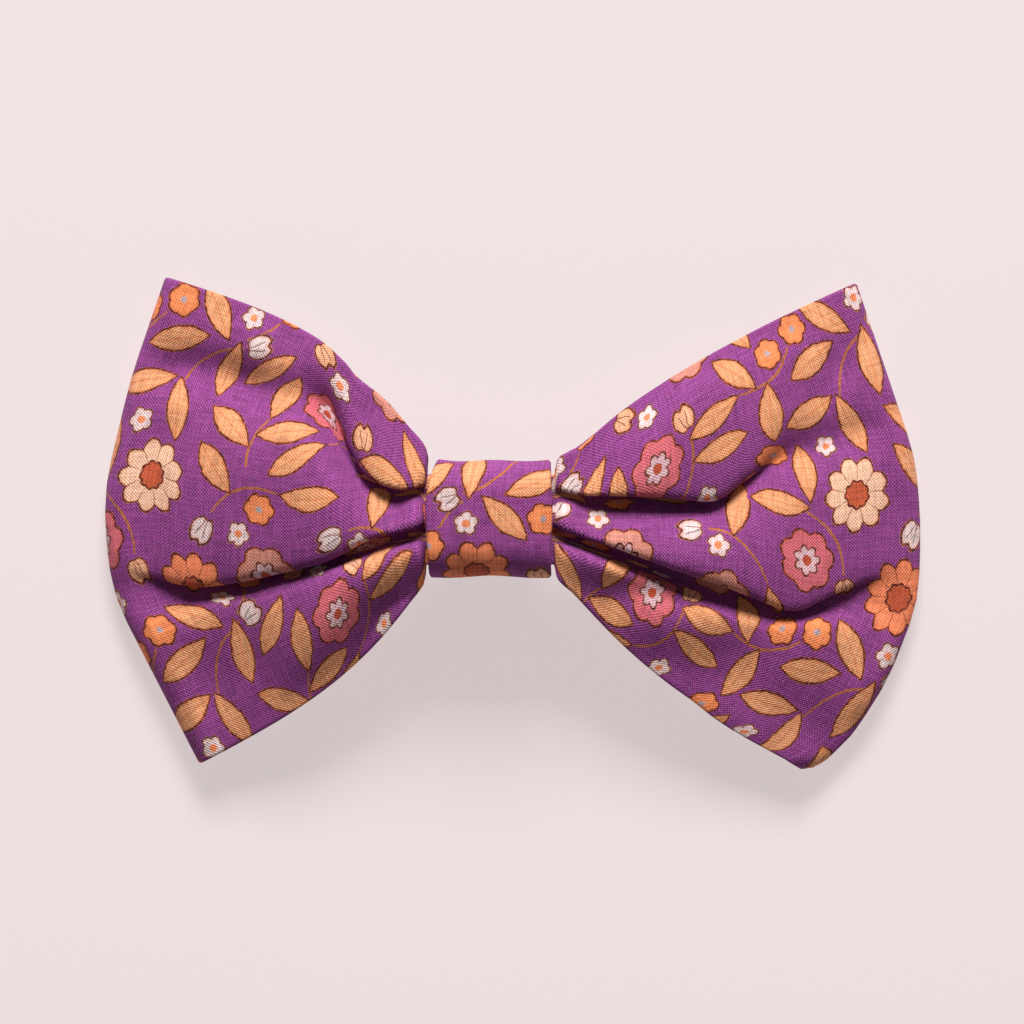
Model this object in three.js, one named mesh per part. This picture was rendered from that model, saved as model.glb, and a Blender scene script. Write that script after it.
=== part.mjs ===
// A pet bow tie: a pleated cotton bow, the band wrapped round its middle, and the elastic loop
// behind the band that slides onto a collar. Millimetres, lying on its back as it rests by itself:
// +X is the bow's right as seen from the front, +Y its top, +Z the way its front faces, and the
// origin is the middle of its base.
import * as THREE from "three";

// The bow, a strip of lined cotton whose two ends meet behind the middle
const bowWidth = 114;
const bowHeight = 68.4;
const clothWall = 1;
const lobeRise = 6.6; // from the middle of the bow's depth to the crest of a lobe
const endFoldDepth = 6.4; // outside depth of the rounded folds at the bow's two ends
const panelGap = 0.8; // between the bow's front and back panels where its folds are deepest
const stripEndGap = 0.6; // between the strip's two ends, hidden under the band

// The band, wrapped once round the bow and lapped behind
const knotCentreX = -3.3;
const knotCentreY = 0.4;
const knotWidth = 17.2;
const knotHeight = 16.3;
const knotDepth = 12.6;
const knotWall = 1;
const knotWaist = 0.3; // how much the band draws in halfway across
const bandLeanTop = 1.5; // how much its left edge draws in at the top
const bandLeanBottom = 0.45;
const knotLap = 7; // how far the band's outer end lies over its inner end
const bandCorner = 4.2; // radius of the corners that the band turns, at the middle of its wall
const bandSteps = 40; // divisions of the band round the bow
const bandAcross = 6;

// The elastic loop, sewn flat to the back of the band
const elasticWidth = 12;
const elasticHeight = 15.2;
const elasticWall = 1;
const collarDepth = 5; // free depth of the slot that the collar passes through

const seatGap = 0.3; // between pieces that lie on each other

// Colours
const cottonPurple = 0x6e2f86;
const elasticPurple = 0x3a1a4c;

// Heights above the surface that the bow lies on
const elasticTop = 2 * elasticWall + collarDepth;
const bandBack = elasticTop + seatGap; // outside of the lapped end
const lapStep = knotWall + seatGap;
const knotCentreZ = bandBack + lapStep + knotDepth / 2;
const endCentreZ = endFoldDepth / 2;

// The bow where the band holds it
const neckHalfHeight = knotHeight / 2 - knotWaist - knotWall - seatGap - clothWall / 2;
const neckRise = knotDepth / 2 - knotWaist - knotWall - seatGap - clothWall / 2;
const knotLeft = knotCentreX - knotWidth / 2;
const knotRight = knotCentreX + knotWidth / 2;
const halfWidth = (bowWidth - clothWall) / 2;
const halfHeight = bowHeight / 2;

// Each wing is a fan of straight lines from the band to its end fold. at is a line's share of the
// way down the wing, neck its height under the band as a share of neckHalfHeight, root its height
// just outside the band, endX its reach as a share of the wing's, endY its height there, and swell
// how far it bulges away from the middle. Heights and swell are shares of halfHeight.
//
// Each wing has two folds. line is where a fold lies, as a share of the way down the wing, depth
// its share of the wing's own depth, width its half width as a share of halfHeight, and close how
// far its upper side comes over it.
const leftWing = {
  side: -1,
  edge: knotLeft,
  leanShare: 0.4, // of the band's lean that the wing beside it follows
  reach: halfWidth + knotLeft,
  swellSkew: 0.86,
  lines: [
    { at: 0, neck: 1, root: 0.27, endX: 0.812, endY: 0.995, swell: 0.14 },
    { at: 0.2, neck: 0.75, root: 0.19, endX: 0.921, endY: 0.58, swell: 0.09 },
    { at: 0.414, neck: 0.48, root: 0.13, endX: 1, endY: 0.15, swell: 0.015 },
    { at: 0.53, neck: 0.08, root: 0.045, endX: 1, endY: -0.08, swell: 0 },
    { at: 0.646, neck: -0.33, root: -0.048, endX: 0.971, endY: -0.31, swell: -0.01 },
    { at: 1, neck: -1, root: -0.225, endX: 0.706, endY: -0.985, swell: -0.09 },
  ],
  folds: [
    [
      { at: 0, line: 0.414, depth: 0.7, width: 0.06, close: 0.1 },
      { at: 0.05, line: 0.405, depth: 0.85, width: 0.08, close: 0.25 },
      { at: 0.1, line: 0.39, depth: 0.92, width: 0.1, close: 0.5 },
      { at: 0.2, line: 0.34, depth: 0.9, width: 0.12, close: 0.85 },
      { at: 0.29, line: 0.28, depth: 0.6, width: 0.14, close: 0.5 },
      { at: 0.38, line: 0.22, depth: 0.25, width: 0.17, close: 0.1 },
      { at: 0.5, line: 0.2, depth: 0.06, width: 0.2, close: 0 },
      { at: 1, line: 0.2, depth: 0, width: 0.2, close: 0 },
    ],
    [
      { at: 0, line: 0.646, depth: 0.7, width: 0.06, close: 0.1 },
      { at: 0.05, line: 0.645, depth: 0.85, width: 0.08, close: 0.25 },
      { at: 0.1, line: 0.645, depth: 0.92, width: 0.1, close: 0.5 },
      { at: 0.3, line: 0.645, depth: 0.95, width: 0.13, close: 0.9 },
      { at: 0.5, line: 0.642, depth: 0.85, width: 0.155, close: 0.9 },
      { at: 0.7, line: 0.645, depth: 0.75, width: 0.18, close: 0.75 },
      { at: 0.88, line: 0.65, depth: 0.5, width: 0.19, close: 0.4 },
      { at: 1, line: 0.65, depth: 0.25, width: 0.2, close: 0 },
    ],
  ],
};
const rightWing = {
  side: 1,
  edge: knotRight,
  leanShare: 0,
  reach: halfWidth - knotRight,
  swellSkew: 1.02,
  lines: [
    { at: 0, neck: 1, root: 0.225, endX: 0.825, endY: 0.97, swell: 0.05 },
    { at: 0.357, neck: 0.48, root: 0.112, endX: 0.985, endY: 0.26, swell: 0.01 },
    { at: 0.5, neck: 0.08, root: 0.035, endX: 1, endY: 0.01, swell: 0 },
    { at: 0.641, neck: -0.33, root: -0.048, endX: 0.995, endY: -0.32, swell: -0.01 },
    { at: 0.82, neck: -0.65, root: -0.13, endX: 0.905, endY: -0.67, swell: -0.045 },
    { at: 0.95, neck: -0.9, root: -0.19, endX: 0.757, endY: -0.985, swell: -0.06 },
    { at: 1, neck: -1, root: -0.21, endX: 0.675, endY: -1, swell: -0.07 },
  ],
  folds: [
    [
      { at: 0, line: 0.36, depth: 0.7, width: 0.06, close: 0.1 },
      { at: 0.05, line: 0.36, depth: 0.85, width: 0.08, close: 0.25 },
      { at: 0.1, line: 0.365, depth: 0.92, width: 0.1, close: 0.5 },
      { at: 0.3, line: 0.392, depth: 0.95, width: 0.125, close: 0.85 },
      { at: 0.45, line: 0.415, depth: 0.85, width: 0.15, close: 0.85 },
      { at: 0.56, line: 0.41, depth: 0.5, width: 0.18, close: 0.5 },
      { at: 0.7, line: 0.365, depth: 0.15, width: 0.22, close: 0 },
      { at: 1, line: 0.35, depth: 0, width: 0.22, close: 0 },
    ],
    [
      { at: 0, line: 0.65, depth: 0.7, width: 0.06, close: 0.1 },
      { at: 0.05, line: 0.66, depth: 0.85, width: 0.08, close: 0.25 },
      { at: 0.1, line: 0.672, depth: 0.92, width: 0.1, close: 0.5 },
      { at: 0.3, line: 0.695, depth: 1, width: 0.13, close: 0.9 },
      { at: 0.5, line: 0.712, depth: 0.95, width: 0.16, close: 0.9 },
      { at: 0.62, line: 0.712, depth: 0.9, width: 0.18, close: 0.75 },
      { at: 0.78, line: 0.67, depth: 0.65, width: 0.18, close: 0.4 },
      { at: 1, line: 0.64, depth: 0.25, width: 0.2, close: 0 },
    ],
  ],
};

// Along a wing, from the band at 0 to the end fold at 1: drop is how far the wing has come down
// from the band's height to the surface, front and back how far its two panels lie from the middle
// of its depth, as shares of lobeRise, and roll how far their edges turn in, as a share of that.
const wingSections = [
  { at: 0, drop: 0, front: 0.9, back: 0.7, roll: 0.65 },
  { at: 0.12, drop: 0.05, front: 1, back: 0.75, roll: 0.7 },
  { at: 0.3, drop: 0.24, front: 1, back: 0.75, roll: 0.5 },
  { at: 0.5, drop: 0.52, front: 0.92, back: 0.68, roll: 0.35 },
  { at: 0.7, drop: 0.8, front: 0.75, back: 0.56, roll: 0.25 },
  { at: 0.88, drop: 0.97, front: 0.52, back: 0.42, roll: 0.15 },
  { at: 1, drop: 1, front: 0.42, back: 0.41, roll: 0.1 },
];

// Soft hollows pressed into the front. x and y are shares of halfWidth and halfHeight, turn is the
// hollow's direction in degrees from +X, and long, wide and deep are shares of halfHeight.
const hollows = [
  { x: -0.45, y: 0.41, turn: 123, long: 0.24, wide: 0.075, deep: 0.07 },
  { x: -0.64, y: 0.52, turn: 160, long: 0.2, wide: 0.14, deep: 0.035 },
  { x: 0.6, y: 0.25, turn: 20, long: 0.22, wide: 0.09, deep: 0.05 },
  { x: 0.33, y: -0.33, turn: -8, long: 0.26, wide: 0.06, deep: 0.045 },
  { x: -0.33, y: -0.36, turn: 40, long: 0.18, wide: 0.07, deep: 0.04 },
];

// How finely the cloth is divided: along the wing up to its end fold, round that fold, across
// each of its three lobes, and along the neck
const wingStations = [0, 0.015, 0.028, 0.048, 0.08, 0.115, 0.17, 0.24, 0.32, 0.41, 0.51, 0.62, 0.73, 0.83];
const endFoldSteps = 4;
const lobeSteps = [11, 9, 11];
const lobeGather = 1.5; // above 1, the divisions crowd towards the folds
const gatherStart = 0.15; // share of the wing in which they start to
const neckSteps = 2;

// How soon the wing opens out beside the band, as shares of its reach
const flareStart = 0.008;
const flareHeight = 0.036;
const flareDepth = 0.05;
const leanFade = 0.15;

const backInset = 0.012; // the back panel's edges lie this share further in
const backCloseness = 0.4; // the folds behind close this share as far
const edgeRollWidth = 0.09; // share of halfHeight
const foldMouth = 1.22; // widths from a fold's line to its mouth
const upperClose = 1.3; // the upper side of a fold hangs over it, the lower side slopes into it
const lowerClose = 0.5;

const mix = (a, b, share) => a + (b - a) * share;
const clamp = (x, low, high) => Math.min(high, Math.max(low, x));
const ease = (share) => {
  const x = clamp(share, 0, 1);
  return x * x * (3 - 2 * x);
};

// A smooth curve, with no overshoot, through one column of a table ordered by its "at"
function through(rows, column, at) {
  const last = rows.length - 1;
  if (at <= rows[0].at) return rows[0][column];
  if (at >= rows[last].at) return rows[last][column];
  const slope = (k) => (rows[k + 1][column] - rows[k][column]) / (rows[k + 1].at - rows[k].at);
  const tangent = (k) => {
    if (k === 0) return slope(0);
    if (k === last) return slope(last - 1);
    const before = slope(k - 1);
    const after = slope(k);
    return before * after <= 0 ? 0 : (2 * before * after) / (before + after);
  };
  const i = rows.findIndex((row) => row.at > at) - 1;
  const span = rows[i + 1].at - rows[i].at;
  const u = (at - rows[i].at) / span;
  return (
    rows[i][column] * (1 + 2 * u) * (1 - u) ** 2 +
    rows[i + 1][column] * u * u * (3 - 2 * u) +
    tangent(i) * span * u * (1 - u) ** 2 +
    tangent(i + 1) * span * u * u * (u - 1)
  );
}

// Straight lines through the column, with the corners eased over a small share of the table
function alongEdge(rows, column, at) {
  const straight = (x) => {
    const i = clamp(rows.findIndex((row) => row.at >= x) - 1, 0, rows.length - 2);
    const u = (x - rows[i].at) / (rows[i + 1].at - rows[i].at);
    return mix(rows[i][column], rows[i + 1][column], u);
  };
  const reach = Math.min(0.05, at, 1 - at);
  return (straight(at - reach) + 2 * straight(at) + straight(at + reach)) / 4;
}

// How far the band's left edge draws in at a height
function leanAt(y) {
  const share = clamp((y - knotCentreY) / (knotHeight / 2), -1, 1);
  return (share > 0 ? bandLeanTop : bandLeanBottom) * Math.abs(share) ** 3;
}

// How far the wing has opened out beside the band
const flare = (s, end) => ease((s - flareStart) / (end - flareStart));

// The share of a wing's reach at which its end fold begins
const foldStart = (wing) => 1 - endFoldDepth / 2 / wing.reach;

// Where a point of a wing lies seen from the front, before its folds move it
function fanPoint(wing, s, t) {
  const rootY = alongEdge(wing.lines, "root", t) * halfHeight;
  const endX = alongEdge(wing.lines, "endX", t) * wing.reach;
  const endY = alongEdge(wing.lines, "endY", t) * halfHeight;
  const bulge = Math.sin(Math.PI * s ** wing.swellSkew) * flare(s, flareDepth);
  const swell = through(wing.lines, "swell", t) * halfHeight * bulge;
  const rise = endY - rootY;
  const run = Math.hypot(endX, rise);
  return {
    x: wing.edge + wing.side * (s * endX - (swell * rise) / run),
    y: rootY + s * rise + (swell * endX) / run,
  };
}

// How high a line of a wing lies, squeezed where the band holds it
function heightAt(wing, s, t) {
  const neckY = knotCentreY + alongEdge(wing.lines, "neck", t) * neckHalfHeight;
  return mix(neckY, fanPoint(wing, s, t).y, flare(s, flareHeight));
}

// What the folds and rolled edges do to a point: how far it sinks, as a share of its panel's free
// depth, and how far it slides along Y
function foldShift(wing, s, y, closeness) {
  const edge = Math.min(heightAt(wing, s, 0) - y, y - heightAt(wing, s, 1)) / (edgeRollWidth * halfHeight);
  let stays = 1 - through(wingSections, "roll", s) * Math.exp(-edge * edge);
  let slide = 0;
  wing.folds.forEach((rows) => {
    const width = through(rows, "width", s) * halfHeight;
    const tau = (y - heightAt(wing, s, through(rows, "line", s))) / width;
    const fall = Math.exp(-tau * tau);
    const mouth = Math.max(foldMouth * width - (clothWall + seatGap) / 2, 0);
    const closing = closeness * through(rows, "close", s) * mouth * (tau > 0 ? upperClose : lowerClose);
    stays *= 1 - through(rows, "depth", s) * fall;
    slide -= (closing * tau ** 3 * fall) / (foldMouth ** 3 * Math.exp(-(foldMouth ** 2)));
  });
  return { sink: 1 - stays, slide };
}

function hollowDepth(x, y) {
  return hollows.reduce((sum, h) => {
    const turn = THREE.MathUtils.degToRad(h.turn);
    const dx = x - h.x * halfWidth;
    const dy = y - h.y * halfHeight;
    const along = (dx * Math.cos(turn) + dy * Math.sin(turn)) / (h.long * halfHeight);
    const across = (dy * Math.cos(turn) - dx * Math.sin(turn)) / (h.wide * halfHeight);
    return sum + h.deep * halfHeight * Math.exp(-along * along - across * across);
  }, 0);
}

// A point of the middle of the cloth: face 1 is the front panel and -1 the back one
function wingPoint(wing, s, t, face) {
  const at = face < 0 ? mix(t, 0.5, 2 * backInset * (1 - s ** 4)) : t;
  const y = heightAt(wing, s, at);
  const { sink, slide } = foldShift(wing, s, y, face > 0 ? 1 : backCloseness);
  const open = flare(s, flareDepth);
  const round = Math.sqrt(1 - clamp((s - foldStart(wing)) / (1 - foldStart(wing)), 0, 1) ** 2);
  const rise = mix(neckRise, lobeRise * through(wingSections, face > 0 ? "front" : "back", s), open);
  const free = rise - (clothWall + panelGap) / 2;
  const lean = wing.leanShare * leanAt(y) * (1 - ease(s / leanFade));
  const x = fanPoint(wing, s, at).x + lean;
  const hollow = face > 0 ? hollowDepth(x, y) * open : 0;
  const lift = rise - Math.min(free * sink + hollow, free);
  const middle = mix(knotCentreZ, endCentreZ, through(wingSections, "drop", s));
  return new THREE.Vector3(x, y + slide * round, middle + face * lift * round);
}

// The shares of the way down a wing where its cloth is divided, crowded towards its folds
function downWing(wing, s) {
  const [upper, lower] = wing.folds.map((rows) => through(rows, "line", s));
  const gather = mix(1, lobeGather, ease(s / gatherStart));
  const spread = (steps, place) => Array.from({ length: steps }, (_, k) => place(k / steps));
  return [
    ...spread(lobeSteps[0], (k) => upper * (1 - (1 - k) ** gather)),
    ...spread(lobeSteps[1], (k) => mix(upper, lower, k)),
    ...spread(lobeSteps[2], (k) => mix(lower, 1, k ** gather)),
    1,
  ];
}

// One panel of a wing as rows of points, from the band out to the middle of the end fold
function wingRows(wing, face) {
  const stations = [...wingStations];
  for (let k = 0; k <= endFoldSteps; k++) {
    stations.push(mix(foldStart(wing), 1, Math.sin((Math.PI / 2) * (k / endFoldSteps))));
  }
  return stations.map((s) => downWing(wing, s).map((t) => wingPoint(wing, s, t, face)));
}

// Rows across the neck from one X to another, blended between the wings' own rows at its two sides
function neckRows(leftRow, rightRow, startX, endX, steps) {
  return Array.from({ length: steps + 1 }, (_, k) => {
    const share = (mix(startX, endX, k / steps) - knotLeft) / knotWidth;
    return leftRow.map((point, j) => point.clone().lerp(rightRow[j], share));
  });
}

// The whole strip, from the left one of its two ends behind the band, round the left wing's end
// fold, across the front, round the right one, and back
function stripRows() {
  const leftBack = wingRows(leftWing, -1);
  const leftFront = wingRows(leftWing, 1);
  const rightFront = wingRows(rightWing, 1);
  const rightBack = wingRows(rightWing, -1);
  const endOffset = stripEndGap / 2;
  const backNeck = [leftBack[0], rightBack[0]];
  const frontNeck = neckRows(leftFront[0], rightFront[0], knotLeft, knotRight, 2 * neckSteps);
  return [
    ...neckRows(...backNeck, knotCentreX - endOffset, knotLeft, neckSteps),
    ...leftBack.slice(1, -1),
    ...leftFront.slice(1).reverse(),
    ...frontNeck,
    ...rightFront.slice(1),
    ...rightBack.slice(1, -1).reverse(),
    ...neckRows(...backNeck, knotRight, knotCentreX + endOffset, neckSteps),
  ];
}

// A closed body from rows of points along the middle of a sheet: both its faces lie half a wall
// from them, and a rim joins the faces all round
function sheetGeometry(rows, wall) {
  const count = rows.length;
  const across = rows[0].length;
  const at = (i, j) => rows[clamp(i, 0, count - 1)][clamp(j, 0, across - 1)];
  const faces = [1, -1].map((way) =>
    rows.map((row, i) =>
      row.map((point, j) => {
        const along = new THREE.Vector3().subVectors(at(i + 1, j), at(i - 1, j));
        const down = new THREE.Vector3().subVectors(at(i, j + 1), at(i, j - 1));
        const normal = along.cross(down).normalize();
        return point.clone().addScaledVector(normal, (way * wall) / 2);
      }),
    ),
  );
  const positions = faces.flat(2).flatMap((p) => [p.x, p.y, p.z]);
  const index = (face, i, j) => (face * count + i) * across + j;
  const triangles = [];
  const quad = (a, b, c, d) => triangles.push(a, b, c, a, c, d);
  for (let i = 0; i < count - 1; i++) {
    for (let j = 0; j < across - 1; j++) {
      quad(index(0, i, j), index(0, i + 1, j), index(0, i + 1, j + 1), index(0, i, j + 1));
      quad(index(1, i, j), index(1, i, j + 1), index(1, i + 1, j + 1), index(1, i + 1, j));
    }
    quad(index(0, i, 0), index(1, i, 0), index(1, i + 1, 0), index(0, i + 1, 0));
    const j = across - 1;
    quad(index(0, i, j), index(0, i + 1, j), index(1, i + 1, j), index(1, i, j));
  }
  for (let j = 0; j < across - 1; j++) {
    const i = count - 1;
    quad(index(0, 0, j), index(0, 0, j + 1), index(1, 0, j + 1), index(1, 0, j));
    quad(index(0, i, j), index(1, i, j), index(1, i, j + 1), index(0, i, j + 1));
  }
  const geometry = new THREE.BufferGeometry();
  geometry.setAttribute("position", new THREE.Float32BufferAttribute(positions, 3));
  geometry.setIndex(triangles);
  geometry.computeVertexNormals();
  return geometry;
}

function makePiece(name, geometry, color, roughness) {
  const material = new THREE.MeshStandardMaterial({ color, roughness, metalness: 0 });
  const piece = new THREE.Mesh(geometry, material);
  piece.name = name;
  return piece;
}

function makeBow() {
  return makePiece("bow", sheetGeometry(stripRows(), clothWall), cottonPurple, 0.85);
}

// Where the middle of the band's wall runs: from its inner end behind the bow, up round the top,
// down the front, and under the bottom to its outer end, which lies over the inner one
function bandPath() {
  const halfY = (knotHeight - knotWall) / 2;
  const halfZ = (knotDepth - knotWall) / 2;
  const centreY = halfY - bandCorner;
  const centreZ = halfZ - bandCorner;
  const path = new THREE.Path();
  path.moveTo(-knotLap / 2, -halfZ);
  path.absarc(centreY, -centreZ, bandCorner, -Math.PI / 2, 0);
  path.absarc(centreY, centreZ, bandCorner, 0, Math.PI / 2);
  path.absarc(-centreY, centreZ, bandCorner, Math.PI / 2, Math.PI);
  path.absarc(-centreY, -centreZ - lapStep, bandCorner, Math.PI, 1.5 * Math.PI);
  path.lineTo(knotLap / 2, -halfZ - lapStep);
  return path.getSpacedPoints(bandSteps);
}

function makeBand() {
  const halfY = (knotHeight - knotWall) / 2;
  const rows = bandPath().map(({ x: y, y: z }) =>
    Array.from({ length: bandAcross + 1 }, (_, k) => {
      const share = (2 * k) / bandAcross - 1;
      const lean = Math.max(-share, 0) * leanAt(y + knotCentreY);
      const waist = 1 - (knotWaist * (1 - share * share)) / halfY;
      return new THREE.Vector3((share * knotWidth) / 2 + lean, y * waist, z > 0 ? z * waist : z);
    }),
  );
  const band = makePiece("knot_band", sheetGeometry(rows, knotWall), cottonPurple, 0.85);
  band.position.set(knotCentreX, knotCentreY, knotCentreZ);
  return band;
}

// The loop seen along the collar, a flat ring with round ends
function flatRing(height, depth) {
  const radius = depth / 2;
  const straight = height / 2 - radius;
  const ring = new THREE.Path();
  ring.absarc(straight, 0, radius, -Math.PI / 2, Math.PI / 2);
  ring.absarc(-straight, 0, radius, Math.PI / 2, 1.5 * Math.PI);
  return ring;
}

function makeElasticLoop() {
  const outside = new THREE.Shape(flatRing(elasticHeight, elasticTop).getPoints(8));
  outside.holes.push(flatRing(elasticHeight - 2 * elasticWall, collarDepth));
  const geometry = new THREE.ExtrudeGeometry(outside, {
    depth: elasticWidth,
    bevelEnabled: false,
    curveSegments: 8,
  });
  geometry.translate(0, 0, -elasticWidth / 2);
  geometry.rotateY(Math.PI / 2);
  geometry.rotateX(Math.PI / 2);
  const loop = makePiece("collar_loop", geometry, elasticPurple, 0.9);
  loop.position.set(knotCentreX, knotCentreY, elasticTop / 2);
  return loop;
}

const bowTie = new THREE.Group();
bowTie.add(makeBow(), makeBand(), makeElasticLoop());
const extent = new THREE.Box3().setFromObject(bowTie, true);
const base = extent.getCenter(new THREE.Vector3()).setZ(extent.min.z);
bowTie.children.forEach((piece) => piece.position.sub(base));

export default bowTie;
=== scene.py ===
import math

import bpy
import numpy as np
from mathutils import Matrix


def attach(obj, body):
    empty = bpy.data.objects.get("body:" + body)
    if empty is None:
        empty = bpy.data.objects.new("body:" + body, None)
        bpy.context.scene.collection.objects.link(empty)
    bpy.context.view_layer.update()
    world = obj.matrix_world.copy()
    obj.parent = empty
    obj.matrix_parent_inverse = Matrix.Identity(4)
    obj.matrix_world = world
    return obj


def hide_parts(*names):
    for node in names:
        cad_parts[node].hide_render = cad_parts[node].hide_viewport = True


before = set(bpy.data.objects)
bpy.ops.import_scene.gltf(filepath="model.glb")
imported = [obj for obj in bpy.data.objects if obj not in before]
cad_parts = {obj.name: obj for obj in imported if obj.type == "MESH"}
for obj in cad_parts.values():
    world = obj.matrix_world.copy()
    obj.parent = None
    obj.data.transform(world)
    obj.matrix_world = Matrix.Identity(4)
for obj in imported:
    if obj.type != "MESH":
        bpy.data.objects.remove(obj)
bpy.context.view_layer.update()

# The bow
# One strip of printed poplin, sewn into a flat tube and turned, so that its long edges are folds.
# It is folded into a loop whose two ends meet behind the middle, pleated twice on each side and
# gathered there. The wings spread from the gather, and the cloth falls into soft hollows.
MM = 0.001
CLOTH = 0.9  # thickness of the doubled cloth
STRIP_WIDTH = 64.0  # of the cloth from edge to edge, as the print lies on it
RISE = 6.6  # from the middle of the bow's depth to the crest of a lobe
KNOT_X, KNOT_Y, KNOT_Z = -3.3, 0.4, 14.9  # where the band holds the bow
KNOT_W, KNOT_H = 17.2, 16.3
NECK_HALF, NECK_RISE = 6.4, 4.4  # half height and half depth of the cloth that the band holds
HALF_W, HALF_H = 56.5, 34.2
EDGE_ROLL = 0.115 * HALF_H  # how far in from its long edges a panel rolls over
END_FOLD = 3.2  # how far in from its end a wing turns over
END_Z = 3.2  # height of the middle of the end folds
PANEL_GAP = 0.8  # least room between a wing's two panels
RIPPLE = 0.3  # height of the faint ripples all over the wings
TO_FRAME = np.array([0.05, 0.24, 0.0])  # from the bow's own drawing to the frame's axes


def columns(names, *rows):
    """A table as a dictionary of its named columns."""
    return dict(zip(names.split(), np.array(rows, float).T))


def through(table, name, at):
    """A smooth curve through one column of a table that is ordered by its "at". Between two rows it
    is the cubic whose slope at each row is the harmonic mean of the two straight slopes beside it,
    or none where they turn back, so it never overshoots."""
    x, y = table["at"], table[name]
    slope = np.diff(y) / np.diff(x)
    before, after = slope[:-1], slope[1:]
    both = before * after
    inner = np.where(both > 0, 2 * both / np.where(both > 0, before + after, 1), 0)
    lean = np.concatenate([slope[:1], inner, slope[-1:]])
    at = np.clip(at, x[0], x[-1])
    i = np.clip(np.searchsorted(x, at, side="right") - 1, 0, len(x) - 2)
    span = x[i + 1] - x[i]
    u = (at - x[i]) / span
    ends = y[i] * (1 + 2 * u) * (1 - u) ** 2 + y[i + 1] * u * u * (3 - 2 * u)
    return ends + span * (lean[i] * u * (1 - u) ** 2 + lean[i + 1] * u * u * (u - 1))


def along_edge(table, name, at):
    """Straight lines through one column of a table, with the corners eased over a small share."""
    reach = np.minimum(0.05, np.minimum(at, 1 - at))
    x, y = table["at"], table[name]
    return (
        np.interp(at - reach, x, y) + 2 * np.interp(at, x, y) + np.interp(at + reach, x, y)
    ) / 4


def ease(share):
    """A soft step from 0 to 1: three times the square of the share less twice its cube."""
    x = np.clip(share, 0, 1)
    return x * x * (3 - 2 * x)


def mix(a, b, share):
    """The value that lies the given share of the way from a to b."""
    return a + (b - a) * share


# A wing has a side, its edge at the band, how much it leans with the band's edge, its reach from
# there, and the power that moves its swell inwards or outwards.
# Lines that run out along a wing, by their share of the way down: their heights under the band and
# beside it, where they end, and how far they swell aside between, as shares of the bow's sizes.
# Folds, by the share of the way out: the line that they follow, the share of the depth that they
# take, their half width, and how far the upper lobe closes over them.
LINES = "at neck root endX endY swell"
FOLDS = "at line depth width close"
left_wing = {
    "side": -1,
    "edge": KNOT_X - KNOT_W / 2,
    "lean": 0.4,
    "reach": HALF_W + KNOT_X - KNOT_W / 2,
    "skew": 0.86,
    "lines": columns(
        LINES,
        [0, 1, 0.27, 0.812, 0.995, 0.14],
        [0.2, 0.75, 0.19, 0.921, 0.58, 0.09],
        [0.414, 0.48, 0.13, 1, 0.15, 0.015],
        [0.53, 0.08, 0.045, 1, -0.08, 0],
        [0.646, -0.33, -0.048, 0.971, -0.31, -0.01],
        [1, -1, -0.225, 0.706, -0.985, -0.09],
    ),
    "folds": [
        columns(
            FOLDS,
            [0, 0.414, 0.7, 0.06, 0.3],
            [0.05, 0.405, 0.85, 0.08, 0.75],
            [0.1, 0.39, 0.92, 0.1, 0.9],
            [0.2, 0.34, 0.9, 0.12, 0.95],
            [0.29, 0.28, 0.6, 0.14, 0.6],
            [0.38, 0.22, 0.25, 0.17, 0.1],
            [0.5, 0.2, 0.06, 0.2, 0],
            [1, 0.2, 0, 0.2, 0],
        ),
        columns(
            FOLDS,
            [0, 0.646, 0.7, 0.06, 0.3],
            [0.05, 0.645, 0.85, 0.08, 0.75],
            [0.1, 0.645, 0.92, 0.1, 0.9],
            [0.3, 0.645, 0.95, 0.13, 0.93],
            [0.5, 0.642, 0.88, 0.155, 0.93],
            [0.7, 0.645, 0.8, 0.18, 0.85],
            [0.88, 0.65, 0.68, 0.18, 0.4],
            [1, 0.65, 0.5, 0.17, 0],
        ),
    ],
}
right_wing = {
    "side": 1,
    "edge": KNOT_X + KNOT_W / 2,
    "lean": 0,
    "reach": HALF_W - KNOT_X - KNOT_W / 2,
    "skew": 1.02,
    "lines": columns(
        LINES,
        [0, 1, 0.25, 0.825, 0.97, 0.045],
        [0.357, 0.48, 0.112, 0.985, 0.26, 0.01],
        [0.5, 0.08, 0.035, 1, 0.01, 0],
        [0.641, -0.33, -0.048, 0.995, -0.32, -0.01],
        [0.82, -0.65, -0.13, 0.905, -0.67, -0.045],
        [0.95, -0.9, -0.19, 0.757, -0.985, -0.06],
        [1, -1, -0.21, 0.675, -1, -0.07],
    ),
    "folds": [
        columns(
            FOLDS,
            [0, 0.36, 0.7, 0.06, 0.3],
            [0.05, 0.36, 0.85, 0.08, 0.75],
            [0.1, 0.365, 0.92, 0.1, 0.9],
            [0.3, 0.392, 0.95, 0.125, 0.93],
            [0.45, 0.415, 0.88, 0.15, 0.93],
            [0.56, 0.41, 0.5, 0.18, 0.5],
            [0.7, 0.365, 0.15, 0.22, 0],
            [1, 0.35, 0, 0.22, 0],
        ),
        columns(
            FOLDS,
            [0, 0.65, 0.7, 0.06, 0.3],
            [0.05, 0.66, 0.85, 0.08, 0.75],
            [0.1, 0.672, 0.92, 0.1, 0.9],
            [0.3, 0.695, 1, 0.13, 0.93],
            [0.5, 0.712, 0.95, 0.16, 0.93],
            [0.62, 0.712, 0.9, 0.18, 0.88],
            [0.78, 0.67, 0.85, 0.17, 0.6],
            [0.9, 0.65, 0.75, 0.17, 0.25],
            [1, 0.64, 0.6, 0.17, 0],
        ),
    ],
}
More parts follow.
